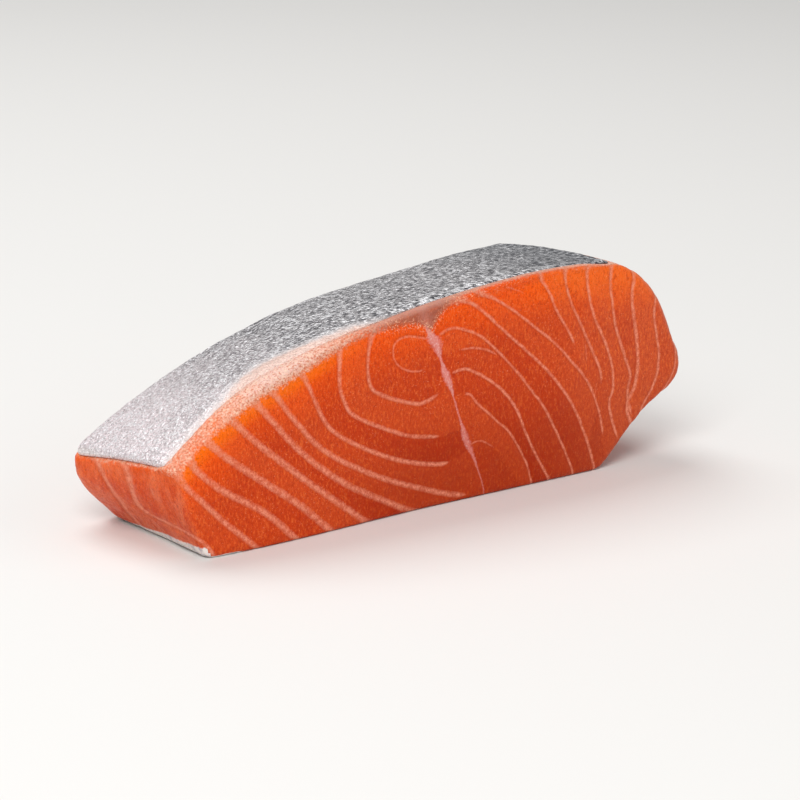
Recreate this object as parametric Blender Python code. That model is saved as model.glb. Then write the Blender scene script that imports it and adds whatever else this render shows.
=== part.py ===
"""A raw salmon fillet portion that lies on its flesh with the skin up.

It is one thick slice across the fish. +X runs from the thin belly edge to the blunt back edge, -Y is the
long cut face that shows the muscle, +Z is up, and the origin is under the middle of the slice. Three layers
lie on each other, as in the fish: the flesh, the thin layer of fat, and the skin.
"""

from math import radians, tan

import bmesh
import bpy
from mathutils import Vector

MM = 0.001

# Driving sizes of the slice, in millimetres
DEPTH = 30.0
SKIN_THICK = 0.8
LAYER_GAP = 0.3
# The skin bulges upwards, and the long cut face bulges forwards low down near the belly
CROWN = 0.8
BULGE, BULGE_AT, BULGE_WIDE = 1.5, 0.16, 0.42

# A size that changes along the slice keeps its belly value up to BELLY_TO, has its middle value at MIDDLE_AT
# and its back value from BACK_FROM on, as parts of the length
BELLY_TO, MIDDLE_AT, BACK_FROM = 0.12, 0.48, 0.9

# The fat under the skin, at the belly, in the middle and at the back, in millimetres
FAT_BELLY, FAT_MIDDLE, FAT_BACK = 1.7, 1.1, 0.8

# How far the knife's edge leaves the skin set back from the long cut face, in millimetres
SET_BACK_BELLY, SET_BACK_MIDDLE, SET_BACK_BACK = 3.0, 1.3, 0.7
# How far the skin ends short of the ends and of the rear cut face, as parts of the length and depth
SKIN_INSET_ENDS, SKIN_INSET_REAR = 0.006, 0.02

# Radii of the soft edges, in millimetres
ROUND_BOTTOM = 0.7
ROUND_BELLY_FRONT, ROUND_BELLY_REAR = 2.2, 4.2
ROUND_BACK = 1.4
ROUND_FRONT, ROUND_REAR = 0.9, 1.6
# The belly's large rear radius fades out over this part of the length
BELLY_FADE = 0.2

# Outlines of the cut faces in millimetres, as (x, z). Skin and floor lines run from belly to back, and ends
# from floor to skin. The belly hangs a little at the rear, and muscle blocks scallop the back end.
FRONT_SKIN = [
    (-55.8, 16.6),
    (-48.0, 23.2),
    (-39.0, 29.0),
    (-30.0, 32.2),
    (-20.0, 34.9),
    (-8.0, 37.3),
    (6.0, 39.2),
    (22.0, 40.4),
    (39.6, 39.9),
]
REAR_SKIN = [
    (-60.4, 13.4),
    (-47.5, 20.5),
    (-30.5, 27.8),
    (-11.0, 33.2),
    (9.5, 35.8),
    (23.0, 37.3),
    (36.3, 38.1),
]
FRONT_FLOOR = [(-50.4, 0.0), (37.5, 0.0)]
REAR_FLOOR = [(-50.8, 0.0), (35.0, 0.0)]
FRONT_BELLY_END = [
    (-50.4, 0.0),
    (-53.4, 8.0),
    (-55.8, 16.6),
]
REAR_BELLY_END = [
    (-50.8, 0.0),
    (-54.2, 2.6),
    (-57.7, 5.7),
    (-60.1, 9.4),
    (-60.4, 13.4),
]
FRONT_BACK_END = [
    (37.5, 0.0),
    (47.9, 9.5),
    (55.3, 13.7),
    (57.6, 17.2),
    (55.7, 21.8),
    (54.4, 25.3),
    (51.0, 31.6),
    (45.7, 36.9),
    (39.6, 39.9),
]
REAR_BACK_END = [
    (35.0, 0.0),
    (44.7, 7.8),
    (51.9, 12.6),
    (53.0, 16.6),
    (51.8, 20.8),
    (50.4, 25.0),
    (47.6, 30.6),
    (42.8, 35.8),
    (36.3, 38.1),
]

# Faces along each axis of a block between its soft edges
STEPS_ALONG, STEPS_UP, STEPS_DEEP, STEPS_FAT = 30, 12, 4, 3
# A block's soft edges take this part of each side. The cut inside it halves the quarter turn.
EDGE = 0.1
EDGE_HALF = EDGE * (1 - tan(radians(22.5)))
SHARP_ANGLE = radians(40)

# Colour, roughness and metallic value of each layer
FLESH_FINISH = ((0.80, 0.17, 0.05, 1.0), 0.38, 0.0)
FAT_FINISH = ((0.86, 0.52, 0.40, 1.0), 0.45, 0.0)
SKIN_FINISH = ((0.50, 0.51, 0.53, 1.0), 0.35, 0.4)


def clear_scene():
    for thing in list(bpy.data.objects):
        bpy.data.objects.remove(thing)


def mix(a, b, share):
    return a + (b - a) * share


def ease(x):
    """0 up to 0, 1 from 1 on, and smooth between."""
    x = min(max(x, 0.0), 1.0)
    return x * x * (3 - 2 * x)


def along_slice(u, belly, middle, back):
    """A size at u, from its values at the belly, in the middle and at the back."""
    if u < MIDDLE_AT:
        return mix(belly, middle, ease((u - BELLY_TO) / (MIDDLE_AT - BELLY_TO)))
    return mix(middle, back, ease((u - MIDDLE_AT) / (BACK_FROM - MIDDLE_AT)))


def smooth_line(points):
    """A function of t, from 0 to 1, that runs at an even pace through the points."""
    stops = [Vector(p) for p in points]
    reach = [0.0]
    for start, end in zip(stops, stops[1:]):
        reach.append(reach[-1] + (end - start).length)
    last = len(stops) - 1
    slopes = []
    for i in range(last + 1):
        before, after = max(i - 1, 0), min(i + 1, last)
        slopes.append((stops[after] - stops[before]) / (reach[after] - reach[before]))

    def at(t):
        travel = t * reach[-1]
        i = 0
        while i < last - 1 and travel > reach[i + 1]:
            i += 1
        span = reach[i + 1] - reach[i]
        h = (travel - reach[i]) / span
        return (
            stops[i] * (2 * h**3 - 3 * h**2 + 1)
            + slopes[i] * span * (h**3 - 2 * h**2 + h)
            + stops[i + 1] * (3 * h**2 - 2 * h**3)
            + slopes[i + 1] * span * (h**3 - h**2)
        )

    return at


class CutFace:
    """One cut face of the slice: a patch between its skin line, floor line, belly end and back end."""

    def __init__(self, skin, floor, belly_end, back_end):
        self.skin = smooth_line(skin)
        self.floor = smooth_line(floor)
        self.belly_end = smooth_line(belly_end)
        self.back_end = smooth_line(back_end)

    def point(self, u, v):
        """u runs from belly to back and v from floor to skin."""
        lines = self.floor(u).lerp(self.skin(u), v)
        ends = self.belly_end(v).lerp(self.back_end(v), u)
        low = self.floor(0).lerp(self.floor(1), u)
        high = self.skin(0).lerp(self.skin(1), u)
        return lines + ends - low.lerp(high, v)


FRONT = CutFace(FRONT_SKIN, FRONT_FLOOR, FRONT_BELLY_END, FRONT_BACK_END)
REAR = CutFace(REAR_SKIN, REAR_FLOOR, REAR_BELLY_END, REAR_BACK_END)
LENGTH = (FRONT.point(1, 0.5) - FRONT.point(0, 0.5)).length


def slice_point(u, v, w):
    """The point of the whole slice at u from belly to back, v from floor to skin, w from front to rear."""
    flat = FRONT.point(u, v).lerp(REAR.point(u, v), w)
    crown = CROWN * 4 * w * (1 - w) * v
    bulge = BULGE * ease(1 - abs(u - BULGE_AT) / BULGE_WIDE) * (1 - v) ** 2 * (1 - w)
    return Vector((flat.x, DEPTH * (w - 0.5) - bulge, flat.y + crown))


def height(u, w):
    return (slice_point(u, 1, w) - slice_point(u, 0, w)).length


def fat_thick(u):
    return along_slice(u, FAT_BELLY, FAT_MIDDLE, FAT_BACK)


def set_back(u):
    return along_slice(u, SET_BACK_BELLY, SET_BACK_MIDDLE, SET_BACK_BACK) / DEPTH


def bevel(u, v, w):
    """How far the front of the fat layer leans back at v of the whole slice, as a part of the depth."""
    deep = (fat_thick(u) + SKIN_THICK + LAYER_GAP) / height(u, w)
    rise = min(max((v - 1 + deep) / deep, 0.0), 1.0)
    return set_back(u) * (1 - (1 - rise**2) ** 0.5)


def into_edge(x):
    """How far x lies in the soft edge at either side of a block, from -1 to 1, and 0 between."""
    if x < EDGE:
        return x / EDGE - 1
    if x > 1 - EDGE:
        return (x - 1) / EDGE + 1
    return 0.0


def resize_edges(x, low, high):
    """Turns the block's own soft edges, EDGE wide, into ones that are low and high wide."""
    if x < EDGE:
        return x / EDGE * low
    if x > 1 - EDGE:
        return 1 - (1 - x) / EDGE * high
    return mix(low, 1 - high, (x - EDGE) / (1 - 2 * EDGE))


def soften(u, v, w, bottom_too):
    """Rounds the upright edges of a block, and with bottom_too its lower edges. The upper ones stay sharp."""
    turn = Vector((into_edge(u), min(into_edge(v), 0.0) if bottom_too else 0.0, into_edge(w)))
    longest = max(turn.length, 1.0)
    moved = turn / longest - turn
    u += moved.x * EDGE
    v += moved.y * EDGE
    w += moved.z * EDGE
    belly = mix(ROUND_BELLY_FRONT, ROUND_BELLY_REAR, w) / LENGTH
    rear = mix(ROUND_BELLY_REAR, ROUND_REAR, ease(u / BELLY_FADE)) / DEPTH
    u = resize_edges(u, belly, ROUND_BACK / LENGTH)
    w = resize_edges(w, ROUND_FRONT / DEPTH, rear)
    if bottom_too:
        v = resize_edges(v, ROUND_BOTTOM / height(u, w), EDGE)
    return u, v, w


def flesh_point(u, v, w):
    u, v, w = soften(u, v, w, bottom_too=True)
    cover = (fat_thick(u) + SKIN_THICK + 2 * LAYER_GAP) / height(u, w)
    return slice_point(u, v * (1 - cover), w)


def fat_point(u, v, w):
    u, _, w = soften(u, v, w, bottom_too=False)
    tall = height(u, w)
    low = 1 - (fat_thick(u) + SKIN_THICK + LAYER_GAP) / tall
    high = 1 - (SKIN_THICK + LAYER_GAP) / tall
    v = mix(low, high, v)
    return slice_point(u, v, mix(bevel(u, v, w), 1, w))


def skin_point(u, v, w):
    u, _, w = soften(u, v, w, bottom_too=False)
    u = mix(SKIN_INSET_ENDS, 1 - SKIN_INSET_ENDS, u)
    low = 1 - SKIN_THICK / height(u, w)
    return slice_point(u, mix(low, 1, v), mix(set_back(u), 1 - SKIN_INSET_REAR, w))


def soft_edge_cuts(steps):
    """Where a block is cut along one axis: even steps, with two cuts in the soft edge at each side."""
    inner = [mix(EDGE, 1 - EDGE, i / steps) for i in range(steps + 1)]
    return [EDGE_HALF, *inner, 1 - EDGE_HALF]


def even_cuts(steps):
    return [i / steps for i in range(1, steps)]


def block(name, point, cuts_along, cuts_up, cuts_deep, material):
    """A cube that is cut across its three axes, with each corner then put where point says."""
    bm = bmesh.new()
    bmesh.ops.create_cube(bm, size=1)
    bmesh.ops.translate(bm, vec=(0.5, 0.5, 0.5), verts=bm.verts)
    for axis, cuts in enumerate((cuts_along, cuts_deep, cuts_up)):
        normal = Vector((axis == 0, axis == 1, axis == 2))
        for cut in cuts:
            geometry = bm.verts[:] + bm.edges[:] + bm.faces[:]
            bmesh.ops.bisect_plane(bm, geom=geometry, dist=1e-6, plane_co=normal * cut, plane_no=normal)
    for vertex in bm.verts:
        along, deep, up = vertex.co
        vertex.co = point(along, up, deep) * MM
    mesh = bpy.data.meshes.new(name)
    bm.to_mesh(mesh)
    bm.free()
    mesh.shade_smooth()
    mesh.set_sharp_from_angle(angle=SHARP_ANGLE)
    mesh.materials.append(material)
    return bpy.data.objects.new(name, mesh)


def finish(name, colour, roughness, metallic):
    material = bpy.data.materials.new(name)
    material.use_nodes = True
    shader = material.node_tree.nodes["Principled BSDF"]
    shader.inputs["Base Color"].default_value = colour
    shader.inputs["Roughness"].default_value = roughness
    shader.inputs["Metallic"].default_value = metallic
    material.diffuse_color = colour
    return material


def centre_on_origin(layers):
    """Moves the layers so that the slice's box is centred over the origin and its base lies at height 0."""
    points = [vertex.co for layer in layers for vertex in layer.data.vertices]
    middle = [(min(p[i] for p in points) + max(p[i] for p in points)) / 2 for i in range(2)]
    shift = Vector((-middle[0], -middle[1], -min(p.z for p in points)))
    for layer in layers:
        for vertex in layer.data.vertices:
            vertex.co += shift


def build_fillet():
    along, up, deep = (soft_edge_cuts(n) for n in (STEPS_ALONG, STEPS_UP, STEPS_DEEP))
    flesh = block("flesh", flesh_point, along, up, deep, finish("flesh", *FLESH_FINISH))
    fat = block("fat_layer", fat_point, along, even_cuts(STEPS_FAT), deep, finish("fat", *FAT_FINISH))
    skin = block("skin", skin_point, along, [], deep, finish("skin", *SKIN_FINISH))
    layers = [flesh, fat, skin]
    centre_on_origin(layers)
    fillet = bpy.data.collections.new("salmon_fillet")
    bpy.context.scene.collection.children.link(fillet)
    for layer in layers:
        fillet.objects.link(layer)


clear_scene()
build_fillet()
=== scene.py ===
"""The looks of a raw salmon fillet portion, on a plain pale floor."""

from math import cos, radians, sin

import bpy
import numpy as np
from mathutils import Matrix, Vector, noise
from mathutils.bvhtree import BVHTree


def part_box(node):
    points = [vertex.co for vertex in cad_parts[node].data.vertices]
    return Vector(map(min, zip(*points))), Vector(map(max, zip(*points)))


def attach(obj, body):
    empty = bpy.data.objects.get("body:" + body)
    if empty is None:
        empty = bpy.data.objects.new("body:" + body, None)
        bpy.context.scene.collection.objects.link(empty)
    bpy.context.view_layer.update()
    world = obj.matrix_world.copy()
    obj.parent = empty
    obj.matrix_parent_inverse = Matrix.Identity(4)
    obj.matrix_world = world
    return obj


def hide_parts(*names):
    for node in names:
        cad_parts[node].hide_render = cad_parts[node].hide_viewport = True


bl_info = {
    "name": "Salmon Fillet",
    "version": (1, 0, 0),
    "blender": (4, 5, 0),
    "location": "3D View > Sidebar > Fillet",
    "description": "A raw salmon fillet portion: muscle with its septa, fat, and silver skin",
    "category": "Add Mesh",
}

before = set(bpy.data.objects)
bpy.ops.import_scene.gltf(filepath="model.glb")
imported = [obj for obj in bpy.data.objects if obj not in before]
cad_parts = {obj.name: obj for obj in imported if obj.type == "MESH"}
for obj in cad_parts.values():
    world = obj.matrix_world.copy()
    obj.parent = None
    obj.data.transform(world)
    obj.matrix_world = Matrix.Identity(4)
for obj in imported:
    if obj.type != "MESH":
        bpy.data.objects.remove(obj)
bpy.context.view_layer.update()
# A millimetre, in which the tables below are, and how close corners lie that are one, both in metres
MM = 0.001
WELD = 0.00002

# Where the long cut face lies, and the centres that the muscle's rings close to behind it
CUT_FACE_Y = -14.3
BELLY_CENTRE = (-6.4, 29.5)
BACK_CENTRE = (8.1, 18.8)
RINGS_CLOSE = 0.0077
# How far a line runs on beyond the underside, and how far from the seam its width counts
RUN_ON = 9.0
SEAM_REACH = 2.4
# The fat is let down into the muscle: the gap that counts as touching, and the overlap, in metres
FAT_GAP = 0.00042
FAT_OVERLAP = 0.0006

# The septa of the belly half on the long cut face, as (x, z), from the belly end inwards
BELLY_SEPTA = [
    [(-74.0, 13.0), (-71.0, 6.0), (-67.0, 0.0)],
    [(-66.6, 14.5), (-65.8, 10.8), (-63.7, 6.4), (-60.9, 2.1), (-58.5, -1.0)],
    [(-62.3, 15.0), (-61.1, 11.1), (-59.6, 6.0), (-57.8, 3.5), (-54.2, 3.6), (-50.8, 3.8), (-48.6, 2.2),
     (-46.5, -1.0)],
    [(-58.0, 11.5), (-56.9, 8.2), (-56.9, 5.4)],
    [(-55.0, 18.5), (-52.9, 13.9), (-48.7, 9.6), (-44.9, 5.8), (-41.8, 3.2), (-37.0, -1.0)],
    [(-52.4, 19.8), (-50.5, 16.2), (-48.0, 13.8), (-44.6, 11.1), (-39.7, 8.2), (-35.5, 5.2),
     (-29.0, -1.0)],
    [(-50.0, 22.6), (-45.9, 18.6), (-42.3, 15.7), (-37.6, 12.2), (-32.8, 8.7), (-28.6, 5.5),
     (-21.5, -1.0)],
    [(-45.5, 26.0), (-39.5, 20.2), (-36.1, 17.1), (-32.2, 13.8), (-27.9, 10.2), (-22.3, 5.9),
     (-13.5, -1.0)],
    [(-40.5, 28.6), (-36.3, 23.9), (-30.8, 17.5), (-27.8, 14.6), (-23.8, 11.2), (-19.0, 7.8),
     (-14.0, 5.0), (-5.0, 0.2), (0.0, -1.5)],
    [(-37.5, 30.8), (-33.2, 25.6), (-31.1, 22.7), (-28.9, 20.0), (-26.0, 16.8), (-22.1, 13.6),
     (-17.2, 10.7), (-11.7, 7.8), (-5.4, 5.1), (3.5, 1.8), (9.5, 0.6)],
    [(-31.5, 33.4), (-28.3, 29.3), (-25.8, 24.3), (-24.0, 20.6), (-21.9, 18.1), (-17.9, 15.3),
     (-12.9, 12.6), (-7.4, 10.2), (-1.8, 8.5), (2.8, 7.8), (5.6, 8.6)],
    [(-20.2, 35.5), (-20.5, 31.0), (-20.5, 26.0), (-19.3, 22.5), (-18.0, 20.6), (-14.6, 18.5),
     (-9.6, 16.1), (-5.4, 14.4), (0.7, 13.2), (3.6, 13.3)],
    [(-12.3, 37.0), (-14.0, 32.6), (-14.5, 28.2), (-13.9, 24.9), (-11.7, 23.1), (-8.4, 21.6),
     (-5.3, 20.5), (-2.9, 19.9), (-0.6, 20.4), (1.5, 21.3), (2.3, 23.0)],
    [(-0.9, 31.4), (-4.0, 32.4), (-6.4, 32.8), (-8.4, 32.2), (-9.0, 31.0), (-8.7, 29.2), (-7.6, 27.6),
     (-5.5, 26.4), (-2.9, 26.0), (-0.8, 26.6), (0.6, 27.6)],
]
# Beyond this y the third of them runs straight down to the underside
REAR_BEGINS = 6.0
REAR_SEPTUM = [(-62.3, 15.0), (-61.1, 11.1), (-59.6, 6.0), (-57.8, 2.4), (-55.6, -1.0)]
# The septa of the back half, from the seam towards the back end
BACK_SEPTA = [
    [(7.0, 8.2), (8.0, 9.7), (9.3, 10.6), (10.7, 10.6), (13.4, 9.0), (15.5, 6.5)],
    [(6.0, 19.9), (8.0, 19.9), (9.7, 17.9), (12.5, 15.4), (14.8, 13.3), (17.1, 11.2), (21.0, 5.0),
     (23.0, -1.0)],
    [(3.4, 24.3), (6.7, 24.8), (9.4, 23.7), (12.9, 21.5), (15.4, 19.4), (17.7, 16.9), (19.4, 14.2),
     (21.0, 10.4), (24.5, 4.0), (27.5, -1.0)],
    [(5.2, 28.5), (8.5, 28.4), (11.7, 27.6), (14.0, 26.4), (16.5, 24.4)],
    [(0.6, 31.4), (2.6, 32.6), (4.9, 32.7), (7.3, 31.9), (10.1, 30.6), (12.3, 28.9), (16.0, 25.4),
     (19.1, 22.0), (21.9, 18.7), (25.7, 13.7), (30.0, 6.0), (33.0, -1.0)],
    [(-0.6, 33.4), (-0.0, 35.3), (1.1, 36.6), (3.1, 37.5), (5.6, 37.7), (8.2, 36.8), (10.7, 35.1),
     (13.2, 32.9), (16.7, 29.8), (20.9, 26.1), (24.9, 22.4), (28.4, 18.6), (32.5, 12.9), (36.0, 5.0),
     (38.0, -1.0)],
    [(8.0, 39.2), (11.0, 37.9), (13.6, 36.8), (17.8, 34.1), (20.8, 31.8), (26.6, 27.2), (29.5, 24.5),
     (31.9, 21.8), (34.3, 19.2), (36.3, 16.3), (38.2, 11.8), (40.0, 4.0)],
    [(15.5, 38.9), (19.3, 37.4), (21.2, 36.4), (23.2, 34.8)],
    [(23.2, 41.5), (24.4, 38.9), (26.3, 36.0), (27.7, 32.9), (29.4, 30.2), (31.3, 27.1), (33.4, 22.8)],
    [(29.7, 41.5), (30.0, 37.7), (31.2, 33.9), (32.9, 30.4), (34.6, 27.1), (37.0, 22.4), (38.5, 19.2),
     (38.7, 16.4), (38.2, 14.2)],
    [(34.6, 26.0), (35.1, 22.1), (36.0, 18.3)],
    [(35.0, 41.5), (35.2, 36.9), (35.9, 33.2), (37.2, 29.2), (39.0, 25.9), (40.5, 22.4), (41.5, 18.8),
     (41.6, 15.3), (40.8, 11.5), (44.0, 3.0)],
    [(40.9, 41.0), (40.7, 35.4), (41.2, 31.9), (42.0, 27.9), (43.3, 23.9), (44.7, 20.2), (45.8, 17.3),
     (45.3, 13.5), (47.0, 7.0)],
    [(46.6, 38.5), (45.9, 33.1), (46.1, 29.8), (46.9, 25.8), (47.5, 22.0), (47.6, 18.7), (47.0, 15.0),
     (45.2, 10.5), (48.5, 4.0)],
    [(52.4, 34.5), (51.3, 29.0), (52.1, 23.8), (52.7, 20.2), (52.2, 16.3), (51.0, 13.2), (48.8, 9.6),
     (50.0, 4.0)],
    [(56.6, 27.5), (56.8, 22.5), (56.9, 19.2), (56.4, 16.6), (54.6, 13.4), (52.0, 9.0)],
    [(62.0, 30.0), (61.6, 24.0), (61.0, 18.0), (58.6, 12.0), (55.0, 6.0)],
]
# Half widths, in the same order
BELLY_WIDTHS = [0.24, 0.25, 0.30, 0.16, 0.42, 0.50, 0.52, 0.50, 0.46, 0.40, 0.34, 0.30, 0.30, 0.16]
BACK_WIDTHS = [
    0.15, 0.20, 0.24, 0.18, 0.22, 0.24, 0.22, 0.10, 0.22, 0.24, 0.12, 0.24, 0.26, 0.28, 0.24, 0.20,
    0.24,
]

# The seam between the halves, from above the skin to below the floor, and its half width at given heights
SEAM = [
    (-3.4, 41.0), (-2.0, 35.1), (-0.9, 32.7), (0.4, 30.6), (1.3, 28.5), (2.2, 25.9), (4.0, 21.1),
    (5.9, 15.6), (7.5, 11.1), (9.3, 7.2), (11.2, 2.0), (12.0, -2.0),
]
SEAM_HEIGHTS = [
    0.0, 6.0, 8.5, 10.5, 12.2, 14.0, 16.0, 20.5, 22.0, 23.6, 25.0, 26.5, 27.6, 28.6, 29.8, 31.0, 32.0,
    32.8, 34.0, 36.0,
]
SEAM_WIDTHS = [
    0.15, 0.17, 0.32, 0.58, 0.62, 0.28, 0.17, 0.17, 0.44, 0.66, 0.58, 0.25, 0.24, 0.48, 0.80, 1.04,
    0.84, 0.42, 0.25, 0.15,
]

# The fine folds of the skin run this way, as an angle from the fillet's length
SKIN_GRAIN = radians(-31)

# How deep the fat reaches below the top of the skin on the long cut face, from belly to back
FAT_AT = [
    -60.0, -54.0, -50.7, -47.0, -43.3, -38.0, -33.0, -27.5, -22.6, -18.0, -14.0, -8.0, -4.5, -3.4, -1.6,
    -0.6, 0.6, 2.2, 4.0, 8.0, 20.0, 40.0,
]
FAT_DEPTH = [
    1.6, 1.5, 1.1, 1.3, 1.9, 2.3, 2.7, 2.4, 2.0, 1.6, 1.5, 2.0, 2.7, 3.2, 4.2, 5.2, 3.6, 2.0, 1.3, 0.8,
    0.65, 0.65,
]
# How deep it reaches on the rounded top rim and at the belly end, and beyond which x there is none of it
TOP_FAT = 1.5
END_FAT = 1.35
FAT_STOPS = 43.0
NO_FAT = -3.0
# How far it rises to the skin's front edge, from belly to back
RISE_AT = [-24.0, -12.0, 8.0]
RISE = [0.86, 0.60, 0.68]
# How brown and dark the fat is along the long cut face
DARK_AT = [-26.0, -18.0, -12.0, -8.0, 4.0, 9.0, 22.0, 30.0, 40.0]
DARK_SHARE = [0.0, 0.25, 0.75, 1.0, 1.0, 0.85, 0.75, 0.45, 0.30]
# How far the pale, mottled border of the skin reaches from its front edge, from belly to back
BORDER_AT = [
    -58.0, -54.0, -50.0, -46.0, -42.0, -38.0, -35.0, -32.0, -28.0, -22.0, -16.0, -10.0, 6.0, 40.0,
]
BORDER_WIDE = [0.3, 0.8, 1.0, 1.1, 1.7, 3.2, 4.3, 4.7, 4.0, 3.1, 2.4, 0.9, 0.2, 0.1]
# The white lining at the lower edge of the belly end: its height, its width below, each in front and at the
# rear, the x that its width counts from, and the x where it stops
FILM_TALL = (2.05, 0.7)
FILM_WIDE = (7.0, 2.5)
FILM_FROM = -49.0
FILM_STOPS = -38.0
# How bright the glint behind the skin's front edge is, from belly to back
GLINT_AT = [-12.0, 0.0, 22.0, 34.0]
GLINT_SHARE = [0.0, 0.9, 0.9, 0.3]

# Tones of the muscle: a lighter block, the browner back, the belly end, and the glow beside the fat
LIGHTER_BLOCK = (0.84, 0.135, 0.030)
BROWNER_BACK = (0.62, 0.125, 0.045)
END_FACE_DEEP = (0.58, 0.052, 0.012)
END_FACE_PALE = (0.76, 0.185, 0.085)
BELLY_GLOW = (0.97, 0.165, 0.0)
BACK_GLOW = (0.95, 0.155, 0.010)
# The ends of its fibres, and the painted glints of their wetness
FIBRE_SPECK = (0.95, 0.21, 0.04)
FIBRE_HOLLOW = (0.40, 0.022, 0.003)
FIBRE_DOT = (0.28, 0.015, 0.004)
WET_PAINTED_GLINT = (0.95, 0.42, 0.22)
# The painted shadow beside a septum, and the seam's pale specks with painted highlights
SEPTUM_PAINTED_SHADOW = (0.36, 0.030, 0.006)
SEAM_SPECK_AND_PAINTED_HIGHLIGHT = (0.90, 0.64, 0.60)
# The pale fat
FAT_FLECK = (0.80, 0.20, 0.07)
FAT_CRUMB = (0.52, 0.115, 0.035)
FAT_LIGHT = (0.95, 0.72, 0.56)
TORN_SPECK = (0.92, 0.50, 0.32)
# The dark fat above the seam
DARK_FAT_HOLLOW = (0.26, 0.04, 0.015)
DARK_FAT_RED = (0.62, 0.13, 0.045)
DARK_FAT_LIGHT = (0.70, 0.32, 0.22)
DARK_FAT_SEAM = (0.50, 0.17, 0.12)
DARK_FAT_TOP = (0.52, 0.30, 0.235)
# The greyer parts of the white lining
FILM_GREY = (0.55, 0.50, 0.52)
# The skin's flecks, the white ones partly painted glints, its glint, the painted highlight and shade on its
# folds, the painted highlight on its rim at the belly end, and the milky border before the fat
FLECK_LIGHT = (0.88, 0.86, 0.88)
FLECK_DARK = (0.060, 0.062, 0.075)
CRISP_WHITE_AND_PAINTED_GLINT = (0.95, 0.94, 0.96)
CRISP_DARK = (0.026, 0.028, 0.038)
GLINT = (0.93, 0.92, 0.94)
FOLD_PAINTED_HIGHLIGHT = (0.88, 0.88, 0.90)
FOLD_PAINTED_SHADE = (0.07, 0.07, 0.085)
SKIN_RIM_PAINTED_HIGHLIGHT = (0.86, 0.79, 0.76)
SKIN_MILK = (0.80, 0.70, 0.68)

# The lights: where each one stands and how wide it is, in metres, and its power in watts
LIGHTS = {
    "key": ((-0.55, -0.50, 0.75), 0.55, 7.0),
    "fill": ((0.55, -0.65, 0.40), 0.70, 1.6),
    "top": ((-0.05, 0.45, 0.80), 0.60, 4.5),
}
WORLD_STRENGTH = 0.30
FLOOR_SIZE = 6.0


def mix(a, b, share):
    """a where share is 0, b where it is 1, and in proportion between."""
    return a + (b - a) * share


def ease(x):
    """0 up to 0, 1 from 1 on, and smooth between."""
    x = np.clip(x, 0.0, 1.0)
    return x * x * (3 - 2 * x)


def select_only(piece):
    """Selects a piece alone and makes it the active one."""
    for thing in bpy.context.selected_objects:
        thing.select_set(False)
    piece.select_set(True)
    bpy.context.view_layer.objects.active = piece


def copy_of(node, name):
    """A welded copy of a solid of the frame, with four-sided faces."""
    piece = bpy.data.objects.new(name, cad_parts[node].data.copy())
    bpy.context.scene.collection.objects.link(piece)
    piece.data.materials.clear()
    select_only(piece)
    bpy.ops.mesh.customdata_custom_splitnormals_clear()
    bpy.ops.object.mode_set(mode="EDIT")
    bpy.ops.mesh.select_all(action="SELECT")
    bpy.ops.mesh.remove_doubles(threshold=WELD)
    bpy.ops.mesh.tris_convert_to_quads(face_threshold=radians(60), shape_threshold=radians(70))
    bpy.ops.object.mode_set(mode="OBJECT")
    return piece


def tree_of(node):
    """A search tree of a solid's faces."""
    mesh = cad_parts[node].data
    return BVHTree.FromPolygons([v.co for v in mesh.vertices], [p.vertices for p in mesh.polygons])


def faces_facing(piece, other, gap):
    """The numbers of a piece's faces that lie against another solid, closer to it than gap."""
    facing = 0.8
    found = []
    for face in piece.data.polygons:
        place, _, _, distance = other.find_nearest(face.center)
        if place is None or distance >= gap:
            continue
        if (place - face.center).normalized().dot(face.normal) > facing:
            found.append(face.index)
    return found


def edit_faces(piece, chosen):
    """Opens a piece for editing with only the chosen faces selected."""
    select_only(piece)
    bpy.context.tool_settings.mesh_select_mode = (False, False, True)
    bpy.ops.object.mode_set(mode="EDIT")
    bpy.ops.mesh.select_all(action="DESELECT")
    bpy.ops.object.mode_set(mode="OBJECT")
    for index in chosen:
        piece.data.polygons[index].select = True
    bpy.ops.object.mode_set(mode="EDIT")


def let_down(piece, faces, fall):
    """Moves some faces of a piece down."""
    edit_faces(piece, faces)
    bpy.ops.transform.translate(value=(0.0, 0.0, -fall))
    bpy.ops.object.mode_set(mode="OBJECT")


def subdivide(piece, levels):
    """Rounds a piece off into smaller faces."""
    select_only(piece)
    bpy.ops.object.modifier_add(type="SUBSURF")
    modifier = piece.modifiers[-1]
    modifier.levels = modifier.render_levels = levels
    bpy.ops.object.modifier_apply(modifier=modifier.name)


def split_faces(piece, wanted):
    """Cuts the wanted faces into smaller ones."""
    edit_faces(piece, [face.index for face in piece.data.polygons if wanted(face)])
    bpy.ops.mesh.subdivide(number_cuts=1, ngon=True, quadcorner="INNERVERT")
    bpy.ops.object.mode_set(mode="OBJECT")


def hold_flat_parts(piece):
    """Creases the outline of the underside and of the upright rear face, so that both keep their size."""
    level = 0.999
    rear = max(v.co.y for v in piece.data.vertices)
    flat = set()
    for face in piece.data.polygons:
        under = face.normal.z < -level and face.center.z < WELD
        behind = face.normal.y > level and face.center.y > rear - WELD
        if under or behind:
            flat.add(face.index)
    edit_faces(piece, flat)
    bpy.ops.mesh.region_to_loop()
    bpy.ops.transform.edge_crease(value=1.0)
    bpy.ops.object.mode_set(mode="OBJECT")


def even_out(piece, pace):
    """Gives a closed piece an even grid of small faces."""
    select_only(piece)
    piece.data.remesh_voxel_size = pace
    bpy.ops.object.voxel_remesh()
    bpy.ops.object.mode_set(mode="EDIT")
    bpy.ops.mesh.select_all(action="SELECT")
    bpy.ops.mesh.vertices_smooth(factor=0.5, repeat=3)
    bpy.ops.object.mode_set(mode="OBJECT")


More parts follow.
